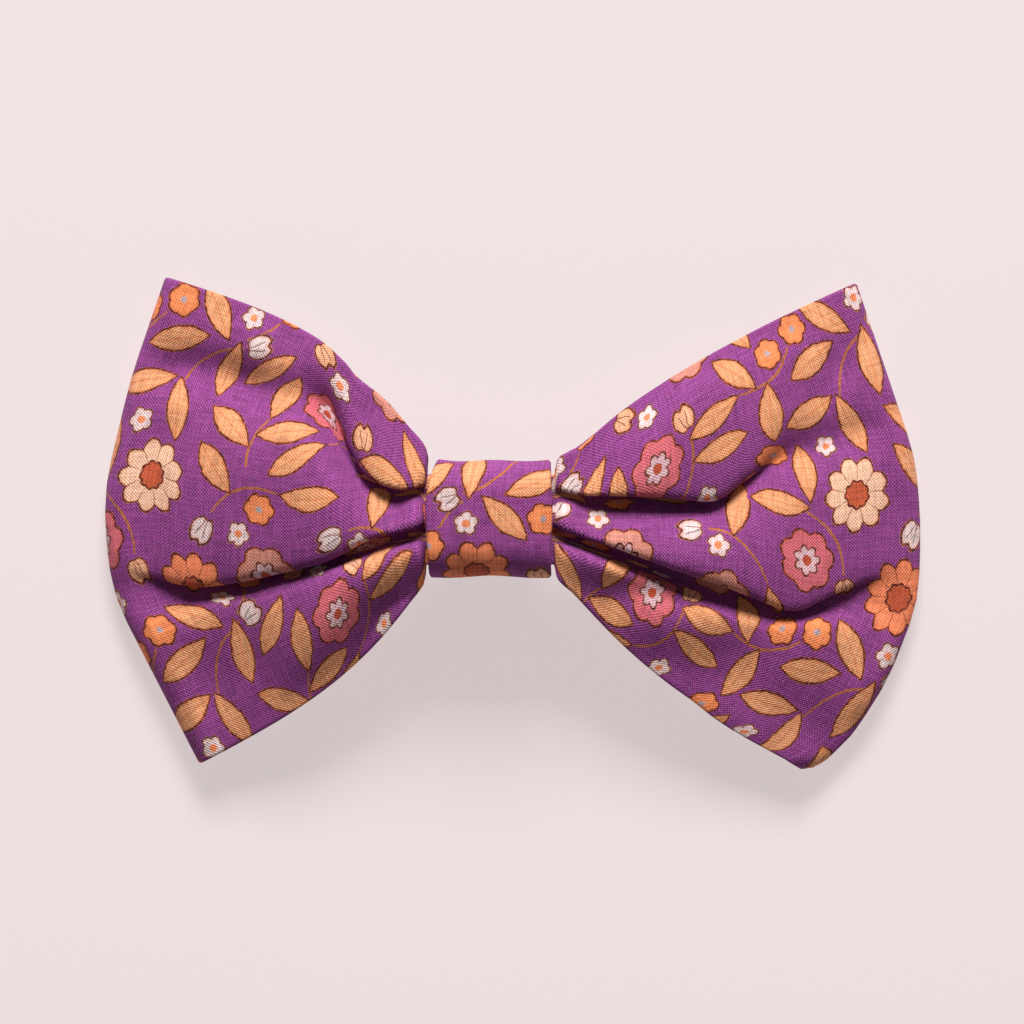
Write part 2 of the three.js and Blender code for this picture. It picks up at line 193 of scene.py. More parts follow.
# By the share of the way out: how far the wing has dropped from the band's height to its end's,
# the rise of its two panels as a share of the crest's, and how much its edges roll over
wing_sections = columns(
    "at drop front back roll",
    [0, 0, 0.9, 0.7, 0.65],
    [0.12, 0.05, 1, 0.75, 0.75],
    [0.3, 0.24, 1, 0.75, 0.68],
    [0.5, 0.52, 0.92, 0.68, 0.55],
    [0.7, 0.8, 0.75, 0.56, 0.42],
    [0.88, 0.97, 0.52, 0.42, 0.25],
    [1, 1, 0.42, 0.41, 0.1],
)
# Soft hollows, and ridges where deep is below 0, pressed into the front: x and y of the middle and
# the two half lengths in mm, turn in degrees from +X
hollows = columns(
    "x y turn long wide deep",
    [-24.8, 14.2, 115, 7.5, 3.0, 3.3],
    [-36.0, 18.6, 163, 12.0, 3.7, 3.1],
    [-47.5, 20.5, 200, 5.0, 3.0, 0.8],
    [-38.0, 6.5, 12, 12.0, 5.5, -0.9],
    [-31.0, 26.0, 150, 12.0, 3.5, -0.7],
    [-50.0, 3.0, 80, 7.0, 2.5, 0.5],
    [-18.6, -12.3, 40, 6.2, 2.4, 1.4],
    [-17.5, -18.8, 44, 10.0, 6.0, 2.6],
    [-38.0, -22.0, 20, 9.0, 4.0, 0.9],
    [-44.0, -15.5, 15, 8.0, 3.5, -0.6],
    [38.5, 9.4, 18, 12.5, 3.1, 2.1],
    [24.0, 17.0, 38, 11.0, 4.0, -0.7],
    [46.0, 22.0, 60, 8.0, 3.0, 0.8],
    [29.0, 0.8, 2, 12.0, 4.5, -0.8],
    [17.8, -11.9, -14, 8.5, 2.8, 2.4],
    [29.5, -21.5, -20, 11.0, 4.2, 1.9],
    [36.0, -14.5, -14, 10.0, 3.2, -0.6],
    [14.0, -18.0, -38, 9.0, 4.0, 1.6],
    [45.5, -30.5, 45, 5.5, 5.0, 1.9],
    [55.5, 1.5, 88, 8.0, 3.6, 1.3],
    [50.5, -18.0, 60, 7.0, 3.0, 0.9],
)


def lean_at(y):
    """How far the band's left edge draws in at a height, the cube of the share of its height."""
    share = np.clip((y - KNOT_Y) / (KNOT_H / 2), -1, 1)
    return np.where(share > 0, 1.5, 0.45) * np.abs(share) ** 3


def flare(s, end):
    """How far the wing has opened out beside the band."""
    return ease((s - 0.006) / (end - 0.006))


def fold_start(wing):
    """The share of a wing's reach at which its rounded end fold begins."""
    return 1 - END_FOLD / wing["reach"]


def fan_point(wing, s, t):
    """Where a point lies from the front before the folds: on a straight line from the band to the
    end fold, moved square to that line by the sine of pi times a power of the share along it."""
    root = along_edge(wing["lines"], "root", t) * HALF_H
    end_x = along_edge(wing["lines"], "endX", t) * wing["reach"]
    end_y = along_edge(wing["lines"], "endY", t) * HALF_H
    bulge = np.sin(np.pi * s ** wing["skew"]) * flare(s, 0.04)
    swell = through(wing["lines"], "swell", t) * HALF_H * bulge
    rise = end_y - root
    run = np.hypot(end_x, rise)
    x = wing["edge"] + wing["side"] * (s * end_x - swell * rise / run)
    return x, root + s * rise + swell * end_x / run


def height_at(wing, s, t):
    """How high a line of a wing lies, squeezed where the band holds it."""
    neck = KNOT_Y + along_edge(wing["lines"], "neck", t) * NECK_HALF
    return mix(neck, fan_point(wing, s, t)[1], flare(s, 0.026))


def fold_shift(wing, s, y, closeness):
    """What folds and rolled edges do to a point. Each fold multiplies what stays of the panel's
    depth by one less depth times exp(-w^2), w being the distance from its line in fold widths, and
    slides the cloth over it by w^3 exp(-w^2)."""
    edge = np.minimum(height_at(wing, s, 0) - y, y - height_at(wing, s, 1)) / EDGE_ROLL
    stays = 1 - through(wing_sections, "roll", s) * np.exp(-edge * edge)
    slide = 0
    peak = 1.22  # the w at which the slide is greatest
    most = peak**3 * math.exp(-(peak**2))
    for table in wing["folds"]:
        width = through(table, "width", s) * HALF_H
        w = (y - height_at(wing, s, through(table, "line", s))) / width
        fall = np.exp(-w * w)
        mouth = np.maximum(peak * width - 0.65, 0)
        closing = closeness * through(table, "close", s) * mouth * np.where(w > 0, 1.3, 0.5)
        stays = stays * (1 - through(table, "depth", s) * fall)
        slide = slide - closing * w**3 * fall / most
    return 1 - stays, slide


def hollow_depth(x, y):
    """The sum of the hollows at a point, each a bell exp(-a^2 - b^2) in its own two directions."""
    total = 0
    for hx, hy, turn, long, wide, deep in zip(*hollows.values()):
        c, s = math.cos(math.radians(turn)), math.sin(math.radians(turn))
        along = ((x - hx) * c + (y - hy) * s) / long
        across = ((y - hy) * c - (x - hx) * s) / wide
        total = total + deep * np.exp(-along * along - across * across)
    return total


def crumple(x, y):
    """Faint ripples of handled cloth, from -1 to 1: the mean of seven sine waves 7 to 18 mm long,
    each in a direction of its own and bent by a slower sine across it."""
    total = 0
    for k in range(7):
        turn, long = 2.4 * k + 0.6, 7.0 + 1.8 * k
        c, s = math.cos(turn), math.sin(turn)
        forth, aside = x * c + y * s, y * c - x * s
        bend = 1.8 * np.sin(2 * np.pi * aside / (2.3 * long) + k)
        total = total + np.sin(2 * np.pi * forth / long + bend)
    return total / 7


def panel(wing, face, s, t):
    """The middle of the cloth of one panel of a wing, face 1 in front and -1 behind, as a function
    of the share s out from the band and the share t down the wing. The panel rises from the wing's
    middle plane, sinks into folds and hollows, and closes on the end fold as a quarter circle."""
    at = mix(t, 0.5, 0.024 * (1 - s**4)) if face < 0 else t
    y = height_at(wing, s, at)
    sink, slide = fold_shift(wing, s, y, 1 if face > 0 else 0.4)
    opened = flare(s, 0.04)
    start = fold_start(wing)
    rounding = np.sqrt(1 - np.clip((s - start) / (1 - start), 0, 1) ** 2)
    crest = RISE * through(wing_sections, "front" if face > 0 else "back", s)
    rise = mix(NECK_RISE, crest, opened)
    free = rise - (1 + PANEL_GAP) / 2
    x = fan_point(wing, s, at)[0] + wing["lean"] * lean_at(y) * (1 - ease(s / 0.15))
    hollow = hollow_depth(x, y) * opened if face > 0 else 0
    lift = rise - np.minimum(free * sink + hollow, free)
    lift = lift + RIPPLE * crumple(x, y + 9 * face) * opened
    middle = mix(KNOT_Z, END_Z, through(wing_sections, "drop", s))
    return np.stack([x, y + slide * rounding, middle + face * lift * rounding], -1)


RIM = np.array([0.0, 0.0012, 0.003, 0.0055])  # close divisions where the edges turn over
LOBE_STEPS = (40, 32, 40)  # divisions above, between and below the two folds
FRONT_STEPS, END_STEPS = 20, 10  # divisions under the band, of the front and of each end behind
END_GAP = 0.3  # from the middle of the band to each end of the strip


def down_wing(wing, s):
    """The shares of the way down a wing where its cloth is divided, crowded towards its folds, for
    a column of places s."""
    upper, lower = [through(table, "line", s)[:, None] for table in wing["folds"]]
    gather = mix(1, 1.5, ease(s / 0.15))[:, None]
    first, middle, last = [np.arange(n)[None] / n for n in LOBE_STEPS]
    inner = [
        mix(RIM[-1] * 1.6, upper, 1 - (1 - first) ** gather),
        mix(upper, lower, middle),
        mix(lower, 1 - RIM[-1] * 1.6, last**gather),
    ]
    rim = np.repeat(RIM[None], len(s), 0)
    last_step = np.full((len(s), 1), 1 - RIM[-1] * 1.6)
    return np.concatenate([rim, *inner, last_step, 1 - rim[:, ::-1]], 1)


def wing_panel(wing, face, steps=80, end_steps=12):
    """One panel's grid of points, from the band out to the middle of the end fold."""
    start = fold_start(wing)
    s = np.concatenate(
        [
            start * (np.arange(steps) / steps) ** 1.25,
            mix(start, 1, np.sin(np.linspace(0, np.pi / 2, end_steps + 1))),
        ]
    )
    return panel(wing, face, s[:, None], down_wing(wing, s)), s


def neck(left_row, right_row, start, end, steps):
    """Rows under the band, blended straight between the wings' own first rows."""
    share = (np.linspace(start, end, steps + 1) - KNOT_X + KNOT_W / 2) / KNOT_W
    return mix(left_row[None], right_row[None], share[:, None, None])


left_edge, right_edge = left_wing["edge"], right_wing["edge"]
(left_front, left_s), (left_back, _) = wing_panel(left_wing, 1), wing_panel(left_wing, -1)
(right_front, right_s), (right_back, _) = wing_panel(right_wing, 1), wing_panel(right_wing, -1)
front_neck = neck(left_front[0], right_front[0], left_edge, right_edge, FRONT_STEPS)
back_ends = left_back[0], right_back[0]
strip = np.concatenate(
    [
        neck(*back_ends, KNOT_X - END_GAP, left_edge, END_STEPS),
        left_back[1:-1],
        left_front[:0:-1],
        front_neck,
        right_front[1:],
        right_back[-2:0:-1],
        neck(*back_ends, right_edge, KNOT_X + END_GAP, END_STEPS),
    ]
)
# how far out from the band each row of the strip lies, and on which wing
end_s, front_s = np.zeros(END_STEPS + 1), np.zeros(FRONT_STEPS + 1)
row_s = np.concatenate(
    [end_s, left_s[1:-1], left_s[:0:-1], front_s, right_s[1:], right_s[-2:0:-1], end_s]
)
row_right = np.arange(len(row_s)) > len(row_s) // 2


def both_faces(outer, inner):
    """The outer face's rows, each carried on round the sheet's edges by the inner face's."""
    return np.concatenate([outer, inner[:, -2:0:-1]], 1)


def sheet_sides(middle, wall):
    """A sheet's two faces as one closed surface round it. Each point of the middle moves both ways
    along the surface's normal by half the wall, and within half a wall of a rim by the height of a
    half circle there, so that every edge is round."""
    along, across = np.gradient(middle, axis=0), np.gradient(middle, axis=1)
    normal = np.cross(across, along)
    normal /= np.maximum(np.linalg.norm(normal, axis=-1, keepdims=True), 1e-9)
    step = np.linalg.norm(np.diff(middle, axis=1), axis=-1)
    run = np.concatenate([np.zeros((len(middle), 1)), np.cumsum(step, 1)], 1)
    rim = np.minimum(run, run[:, -1:] - run) / (wall / 2)
    long_step = np.linalg.norm(np.diff(middle, axis=0), axis=-1).mean(1)
    far = np.concatenate([[0], np.cumsum(long_step)])
    end = (np.minimum(far, far[-1] - far) / (wall / 2))[:, None]
    near = np.clip(np.minimum(rim, end), 0, 1)
    half = wall / 2 * np.sqrt(1 - (1 - near) ** 2)
    out = middle + normal * half[..., None]
    inside = middle - normal * half[..., None]
    return both_faces(out, inside), run


def cloth_ways(run, line_rows, deep_rows, held_rows, row_step, width=STRIP_WIDTH):
    """The cloth's own coordinates, in mm, before it was pleated: u along the strip and v across it.
    Near the band the two edges and the two pleat lines keep their place across the cloth. Between
    them v follows the surface at full scale, and the cloth that is left over goes into the pleats,
    the more the deeper they are. Further out, where nothing holds the pleats, v spreads evenly."""
    u = np.concatenate([[0], np.cumsum(row_step)])
    count = len(LOBE_STEPS)
    marks = [0, len(RIM) + LOBE_STEPS[0], len(RIM) + sum(LOBE_STEPS[:2]), run.shape[1] - 1]
    none = np.zeros(len(run))
    lines = [mix(run[:, i] / run[:, -1], row, held_rows) for i, row in zip(marks[1:3], line_rows)]
    place = [none + 0.5, 0.5 - lines[0], 0.5 - lines[1], none - 0.5]
    deep = [none, *[ease(row / 0.6) * held_rows for row in deep_rows], none]
    v = np.zeros_like(run)
    for k in range(count):
        a, b = marks[k], marks[k + 1]
        x = run[:, a : b + 1] - run[:, a : a + 1]
        length = x[:, -1:]
        start, end = width * place[k][:, None], width * place[k + 1][:, None]
        spare = (start - end) - length
        wa, wb = deep[k][:, None], deep[k + 1][:, None]
        pleat = np.minimum(1.8, length / 3)
        into_a = ease(x / mix(length * 0.95, pleat, wa)) * wa
        into_b = (1 - ease((length - x) / mix(length * 0.95, pleat, wb))) * wb
        share = np.maximum(wa + wb, 1e-6)
        tucked = (into_a + into_b) / share * np.maximum(wa, wb)
        spread = x / np.maximum(length, 1e-6) * (1 - np.maximum(wa, wb))
        v[:, a : b + 1] = start - x - spare * (tucked + spread)
    return np.repeat(u[:, None], run.shape[1], 1), v


def sheet_faces(count, round_count):
    """The quads of a sheet's two faces, whose grid is closed round its second way. In the first and
    last row both faces meet, so there the inner face takes the outer one's points."""
    i, j = np.meshgrid(np.arange(count), np.arange(round_count), indexing="ij")
    across = round_count // 2 + 1
    shared = ((i == 0) | (i == count - 1)) & (j >= across)
    index = i * round_count + np.where(shared, round_count - j, j)
    here, after = index[:-1], index[1:]
    return np.stack([here, np.roll(here, -1, 1), np.roll(after, -1, 1), after], -1)


def make_piece(name, points, quads, material, layer):
    """A smooth mesh from a grid of points in mm and its quads. The layer is kept as the points' own
    cloth coordinates in mm."""
    mesh = bpy.data.meshes.new(name)
    used, quads = np.unique(quads, return_inverse=True)
    points, quads = points.reshape(-1, 3)[used], quads.reshape(-1, 4)
    mesh.vertices.add(len(points))
    mesh.vertices.foreach_set("co", (points * MM).astype(np.float32).ravel())
    mesh.loops.add(quads.size)
    mesh.loops.foreach_set("vertex_index", quads.astype(np.int32).ravel())
    mesh.polygons.add(len(quads))
    mesh.polygons.foreach_set("loop_start", np.arange(0, quads.size, 4, dtype=np.int32))
    mesh.polygons.foreach_set("use_smooth", np.ones(len(quads), bool))
    mesh.update(calc_edges=True)
    held = mesh.attributes.new("cloth", "FLOAT_VECTOR", "POINT")
    flat = np.pad(layer.reshape(-1, 2)[used], ((0, 0), (0, 1)))
    held.data.foreach_set("vector", flat.astype(np.float32).ravel())
    mesh.materials.append(material)
    piece = bpy.data.objects.new(name, mesh)
    bpy.context.scene.collection.objects.link(piece)
    return piece


def linear(code):
    """A colour written as six hex digits, in the linear values that a shader takes."""
    c = np.array([int(code[i : i + 2], 16) / 255 for i in (0, 2, 4)])
    c = np.where(c < 0.04045, c / 12.92, ((c + 0.055) / 1.055) ** 2.4)
    return (*[float(x) for x in c], 1.0)


class Shader:
    """Short ways to add nodes to one node tree. An input may be a socket or a value."""

    def __init__(self, tree):
        self.tree = tree

    def add(self, kind, inputs=(), **settings):
        node = self.tree.nodes.new("ShaderNode" + kind)
        for key, value in settings.items():
            setattr(node, key, value)
        for key, value in dict(inputs).items():
            self.put(node.inputs[key], value)
        return node

    def put(self, socket, value):
        if isinstance(value, bpy.types.NodeSocket):
            self.tree.links.new(value, socket)
        else:
            socket.default_value = value

    def math(self, operation, *values):
        return self.add("Math", enumerate(values), operation=operation).outputs[0]

    def vector(self, operation, *values):
        node = self.add("VectorMath", enumerate(values), operation=operation)
        return node.outputs["Value" if operation == "LENGTH" else "Vector"]

    def blend(self, share, a, b):
        return self.add("Mix", {0: share, 6: a, 7: b}, data_type="RGBA").outputs[2]

    def choose(self, share, a, b):
        return self.add("Mix", {0: share, 4: a, 5: b}, data_type="VECTOR").outputs[1]

    def step(self, value, low, high):
        node = self.add("MapRange", {0: value, 1: low, 2: high}, interpolation_type="SMOOTHSTEP")
        return node.outputs[0]

    def parts(self, vector):
        node = self.add("SeparateXYZ", {0: vector})
        return node.outputs[0], node.outputs[1], node.outputs[2]

    def bump(self, surface, height, strength, distance):
        node = self.add("Bump", {"Strength": strength, "Distance": distance, "Height": height})
        self.put(surface["Normal"], node.outputs[0])

    def noise(self, vector, scale, detail=2.0):
        return self.add("TexNoise", {"Vector": vector, "Scale": scale, "Detail": detail}).outputs


def new_group(name, **outputs):
    """An empty node group that takes the cloth's coordinates: its shader, input and output node."""
    tree = bpy.data.node_groups.new(name, "ShaderNodeTree")
    tree.interface.new_socket("Cloth", in_out="INPUT", socket_type="NodeSocketVector")
    for label, kind in outputs.items():
        tree.interface.new_socket(label, in_out="OUTPUT", socket_type="NodeSocket" + kind)
    cloth_in, out = [tree.nodes.new("NodeGroup" + end) for end in ("Input", "Output")]
    return Shader(tree), cloth_in.outputs[0], out


def new_material(name, values):
    """A material whose Principled shader has the given values: it, its tree and those sockets."""
    material = bpy.data.materials.new(name)
    material.use_nodes = True
    surface = material.node_tree.nodes["Principled BSDF"].inputs
    for label, value in values.items():
        surface[label].default_value = value
    return material, Shader(material.node_tree), surface


# The print: motifs of its own design, scattered on a repeat. For each kind of motif, how far its
# middle lies from its foot, and the circles that it fills: their place along it and their radius
TILE = np.array([46.0, 40.0])
motifs = {
    "daisy": (0, [(0, 4.5)]),
    "blossom": (0, [(0, 3.8)]),
    "small": (1.9, [(0, 2.0)]),
    "tiny": (0, [(0, 1.6)]),
    "bud": (1.2, [(0.4, 1.5)]),
    "leaf": (3.9, [(-2.8, 0.9), (-1.1, 1.5), (0.9, 1.5), (2.8, 0.9)]),
    "stalk": (0, [(-3.4, 0.3), (0, 0.3), (3.4, 0.3)]),
}
# motifs that stand together: each row is a kind, the place of its foot in mm, and its turn
branch = [
    ("stalk", 0, 0, 0), ("leaf", -4.7, 1.6, 172), ("leaf", -2.2, 0.4, 108), ("leaf", -0.6, 0, 238),
    ("small", 4.9, 1.7, 30),
]
twig = [
    ("stalk", 0, 0, 0), ("leaf", -4.7, 1.6, 150), ("leaf", 1.6, 0.2, 292), ("bud", 5.0, 1.8, 40),
]
pair = [
    ("leaf", 0, 0, 62), ("leaf", 0.4, -0.3, 334), ("stalk", -4.6, -1.0, 4), ("bud", -9.4, 0.4, 165),
]
sprays = 3 * [branch] + 3 * [twig] + 2 * [pair]
singles = {"daisy": 2, "blossom": 4, "tiny": 7, "small": 2, "bud": 1, "leaf": 2}
for kind, many in singles.items():
    sprays = sprays + many * [[(kind, 0, 0, 0)]]


def turned(xy, turn):
    """Points turned about the origin by an angle in degrees, which may be an array of angles."""
    c, s = np.cos(np.radians(turn)), np.sin(np.radians(turn))
    return np.stack([xy[..., 0] * c - xy[..., 1] * s, xy[..., 0] * s + xy[..., 1] * c], -1)


def middles(spray):
    """The middle of each of a spray's motifs."""
    return [
        (kind, np.array([x, y]) + turned(np.array([motifs[kind][0], 0.0]), turn), turn)
        for kind, x, y, turn in spray
    ]


def disks(spray):
    """All circles of a spray, as their middles and their radii."""
    found = [
        (*(middle + turned(np.array([x, 0.0]), turn)), radius)
        for kind, middle, turn in middles(spray)
        for x, radius in motifs[kind][1]
    ]
    found = np.array(found)
    return found[:, :2], found[:, 2]


def scatter(sprays, seed=12, rounds=70, tries=48, clear=0.5, apart=13.0):
    """A place and a turn for each spray. In every round each spray draws places round its own, by
    steps that shrink from round to round, and takes the one with the least sum of the squares by
    which its circles come too near to the others', measured round the repeat. Sprays of one kind
    also like to keep apart."""
    draw = np.random.default_rng(seed)
    shapes = [disks(spray) for spray in sprays]
    place, turn = draw.random((len(sprays), 2)) * TILE, draw.random(len(sprays)) * 360
    for k in range(rounds):
        left = 1 - k / rounds
        for i, (xy, radius) in enumerate(shapes):
            at = place[i] + draw.normal(0, 1, (tries, 2)) * (9 * left**2 + 0.2)
            way = turn[i] + draw.normal(0, 1, tries) * (90 * left + 3)
            at[0], way[0] = place[i], turn[i]
            own = turned(xy[None], way[:, None]) + at[:, None]
            cost = np.zeros(tries)
            for j, (other, reach) in enumerate(shapes):
                if j == i:
                    continue
                gap = own[:, :, None] - (turned(other, turn[j]) + place[j])
                gap = np.linalg.norm((gap + TILE / 2) % TILE - TILE / 2, axis=-1)
                near = np.maximum(radius[:, None] + reach + clear - gap, 0)
                cost += (near**2).sum((1, 2))
                if sprays[j] == sprays[i]:
                    far = np.linalg.norm((at - place[j] + TILE / 2) % TILE - TILE / 2, axis=-1)
                    cost += 0.02 * np.maximum(apart - far, 0) ** 2
            best = int(np.argmin(cost))
            place[i], turn[i] = at[best], way[best]
    placed = {kind: [] for kind in motifs}
    for spray, at, way in zip(sprays, place, turn):
        for kind, middle, own_turn in middles(spray):
            x, y = (turned(middle, way) + at) % TILE
            placed[kind].append((float(x), float(y), float(own_turn + way), len(placed[kind]) % 2))
    return placed


placed = scatter(sprays)

p, cloth_in, ink_out = new_group("scattered flower print", Ink="Color", Covered="Float")
# the edges of printed shapes wander a little, as ink does on a coarse thread
wander = p.vector("SUBTRACT", p.noise(cloth_in, 1.1, 3.0)["Color"], (0.5, 0.5, 0.5))
cloth = p.vector("ADD", cloth_in, p.vector("MULTIPLY", wander, (0.42, 0.42, 0.0)))


def nearest(rows, long, wide):
    """A motif's own coordinates at every point: the cloth's are wrapped on to the repeat round each
    place in turn and turned there, and the last place whose oval covers the point is taken. The
    fourth number in a row, the motif's colour way, rides in z."""
    found = (9.0, 9.0, 0.0)
    across, up = (float(side) for side in TILE / 2)
    for x, y, turn, way in rows:
        centre = (x, y, -float(way))
        low = (x - across, y - up, -50.0)
        high = (x + across, y + up, 50.0)
        wrapped = p.vector("WRAP", cloth, high, low)
        node = p.add("Mapping", {"Vector": wrapped, "Location": centre}, vector_type="TEXTURE")
        node.inputs["Rotation"].default_value[2] = math.radians(turn)
        own = node.outputs[0]
        oval = p.vector("LENGTH", p.vector("MULTIPLY", own, (1 / long, 1 / wide, 0.0)))
        found = p.choose(p.math("LESS_THAN", oval, 1.0), found, own)
    return p.parts(found)


def distance(x, y):
    """How far a point lies from a motif's middle."""
    return p.math("POWER", p.math("MULTIPLY_ADD", x, x, p.math("MULTIPLY", y, y)), 0.5)


def petals(x, y, count, radius, notch):
    """How far a point lies outside a flower, in mm: its distance from the middle less the radius,
    which falls by the notch between two petals as the sine of half the count times the angle."""
    angle = p.math("ARCTAN2", y, x)
    lobe = p.math("ABSOLUTE", p.math("COSINE", p.math("MULTIPLY", angle, count / 2)))
    edge = p.math("MULTIPLY_ADD", lobe, notch, radius - notch)
    return p.math("SUBTRACT", distance(x, y), edge)


def lay(colour, covered, shape, fill, line=None, width=0.26):
    """Prints a shape over what is there, shape being the distance outside it. Its edge gets a dark
    line, and a warm fringe inside that line where the inks overlap."""
    inside = p.step(shape, 0.06, -0.06)
    colour = p.blend(inside, colour, fill)
    if line is not None:
        warm = p.math("MULTIPLY", p.step(shape, -2.6 * width, -0.6 * width), inside)
        colour = p.blend(p.math("MULTIPLY", warm, 0.45), colour, fringe)
        away = p.math("ABSOLUTE", p.math("ADD", shape, width / 2))
        colour = p.blend(p.step(away, width / 2 + 0.07, width / 2 - 0.07), colour, line)
    return colour, p.math("MAXIMUM", covered, inside)


ground = linear("96458b")
patchy = p.noise(cloth_in, 2.2)[0]
outline = p.blend(p.step(patchy, 0.42, 0.66), linear("4e1a1c"), linear("98482c"))
fringe = linear("d06838")
stem = linear("b4683f")
colour, covered = ground, 0.0

# stalks: thin curved lines
x, y, z = nearest(placed["stalk"], 5.4, 2.6)
bend = p.math("SUBTRACT", y, p.math("MULTIPLY", p.math("MULTIPLY", x, x), 0.07))
length = p.math("SUBTRACT", p.math("ABSOLUTE", x), 5.0)
stalk = p.math("MAXIMUM", p.math("SUBTRACT", p.math("ABSOLUTE", bend), 0.17), length)
colour, covered = lay(colour, covered, stalk, stem)

# leaves: long ovals pointed at both ends, with a vein and fine streaks
x, y, z = nearest(placed["leaf"], 4.35, 1.8)
share = p.math("DIVIDE", x, 4.1)
half = p.math("MULTIPLY", p.math("SUBTRACT", 1.0, p.math("MULTIPLY", share, share)), 1.62)
half = p.math("MULTIPLY", half, p.math("MULTIPLY_ADD", share, 0.12, 1.0))
leaf = p.math("SUBTRACT", p.math("ABSOLUTE", y), half)
streak = p.add("CombineXYZ", {0: p.math("MULTIPLY", x, 0.5), 1: p.math("MULTIPLY", y, 5.0)})
streak = p.noise(streak.outputs[0], 1.0)[0]
vein = p.step(p.math("ABSOLUTE", y), 0.2, 0.05)
leaf_ink = p.blend(p.step(streak, 0.45, 0.7), linear("eaa376"), linear("df8c58"))
leaf_ink = p.blend(p.math("MULTIPLY", vein, 0.55), leaf_ink, linear("dd8050"))
colour, covered = lay(colour, covered, leaf, leaf_ink, outline)

# buds: drops with a split down the middle, cream or peach
x, y, z = nearest(placed["bud"], 2.6, 2.2)
beside = p.math("ABSOLUTE", y)
wide = p.math("MULTIPLY_ADD", x, 0.3, 1.15)
wide = p.math("MULTIPLY_ADD", p.step(beside, 0.0, 0.7), 0.35, wide)
bud = p.math("SUBTRACT", distance(p.math("MULTIPLY", x, 0.9), y), wide)
petal = p.math("SUBTRACT", beside, p.math("MULTIPLY", p.math("SUBTRACT", x, -1.3), 0.22))
split = p.math("MULTIPLY", p.step(p.math("ABSOLUTE", petal), 0.13, 0.03), p.step(x, 1.4, 1.1))
bud_ink = p.blend(p.step(z, 0.4, 0.6), linear("e6ccc9"), linear("f2b08a"))
bud_ink = p.blend(p.math("MULTIPLY", split, 0.75), bud_ink, outline)
colour, covered = lay(colour, covered, bud, bud_ink, outline, 0.24)

# tiny flowers: five pale petals round an orange eye
x, y, z = nearest(placed["tiny"], 2.0, 2.0)
tiny = petals(x, y, 5, 1.62, 0.42)
eye = p.math("SUBTRACT", distance(x, y), 0.46)
colour, covered = lay(colour, covered, tiny, linear("e8ccca"), outline, 0.22)
colour, covered = lay(colour, covered, eye, linear("f28a5c"))

# small flowers: six orange petals round a grey eye
x, y, z = nearest(placed["small"], 2.5, 2.5)
small = petals(x, y, 6, 2.1, 0.3)
eye = p.math("SUBTRACT", distance(x, y), 0.4)
colour, covered = lay(colour, covered, small, linear("f28c58"), outline)
colour, covered = lay(colour, covered, eye, linear("b39a9c"))

# blossoms: seven rounded petals, pink or dusty, with a lilac star and a rust eye
x, y, z = nearest(placed["blossom"], 4.3, 4.3)
blossom = petals(x, y, 7, 3.85, 0.62)
star = petals(x, y, 7, 1.95, 0.6)
eye = p.math("SUBTRACT", distance(x, y), 0.62)
petal_ink = p.blend(p.step(z, 0.4, 0.6), linear("da6c76"), linear("d38a7a"))
colour, covered = lay(colour, covered, blossom, petal_ink, outline, 0.28)
colour, covered = lay(colour, covered, star, linear("deb6bc"), outline)
colour, covered = lay(colour, covered, eye, linear("c05236"))

# daisies: nine long petals, orange or peach, with rays between them and a rust eye
x, y, z = nearest(placed["daisy"], 4.9, 4.9)
daisy = petals(x, y, 9, 4.5, 0.95)
middle = petals(x, y, 9, 1.75, 0.25)
ray = p.math("ABSOLUTE", p.math("COSINE", p.math("MULTIPLY", p.math("ARCTAN2", y, x), 4.5)))
ray = p.math("MULTIPLY", p.step(ray, 0.16, 0.05), p.step(daisy, 0.0, -0.4))
petal_ink = p.blend(p.step(z, 0.4, 0.6), linear("f78a60"), linear("f8c2a2"))
petal_ink = p.blend(p.math("MULTIPLY", ray, 0.7), petal_ink, outline)
colour, covered = lay(colour, covered, daisy, petal_ink, outline, 0.3)
colour, covered = lay(colour, covered, middle, linear("c65a3a"), outline)
p.put(ink_out.inputs[0], colour)
p.put(ink_out.inputs[1], covered)

# The cloth: a plain weave of fine threads, each a little lighter or darker than the next, with
# pale specks on the crowns that are partly unprinted fibre and partly painted highlight
WARP_PITCH, WEFT_PITCH = 0.44, 0.43  # the width of two threads, in mm
w, cloth_in, weave_out = new_group(
    "plain weave", Height="Float", Gap="Float", Thread="Float", Fuzz="Float"
)
bent = w.vector("SUBTRACT", w.noise(cloth_in, 0.35)["Color"], (0.5, 0.5, 0.5))
bent = w.vector("MULTIPLY", bent, (0.5, 0.5, 0.0))
u, v, _ = w.parts(w.vector("ADD", cloth_in, bent))
warp = w.math("SINE", w.math("MULTIPLY", u, 2 * math.pi / WARP_PITCH))
weft = w.math("SINE", w.math("MULTIPLY", v, 2 * math.pi / WEFT_PITCH))
crown = w.math("MULTIPLY", warp, weft)
height = w.math("MULTIPLY_ADD", crown, 0.5, 0.5)
gap = w.step(height, 0.45, 0.05)
along = w.add("CombineXYZ", {0: w.math("MULTIPLY", u, 0.25), 1: w.math("MULTIPLY", v, 3.6)})
over = w.add("CombineXYZ", {0: w.math("MULTIPLY", u, 3.6), 1: w.math("MULTIPLY", v, 0.25)})
thread = w.math("ADD", w.noise(along.outputs[0], 1.0)[0], w.noise(over.outputs[0], 1.0)[0])
thread = w.math("MULTIPLY", thread, 0.5)
# pale specks on the thread crowns: partly unprinted fibre, partly painted highlight
speck = w.noise(cloth_in, 3.4, 3.0)[0]
fuzz_and_highlight = w.math("MULTIPLY", w.step(speck, 0.5, 0.78), w.step(height, 0.45, 0.95))
for socket, value in zip(weave_out.inputs, (height, gap, thread, fuzz_and_highlight)):
    w.put(socket, value)

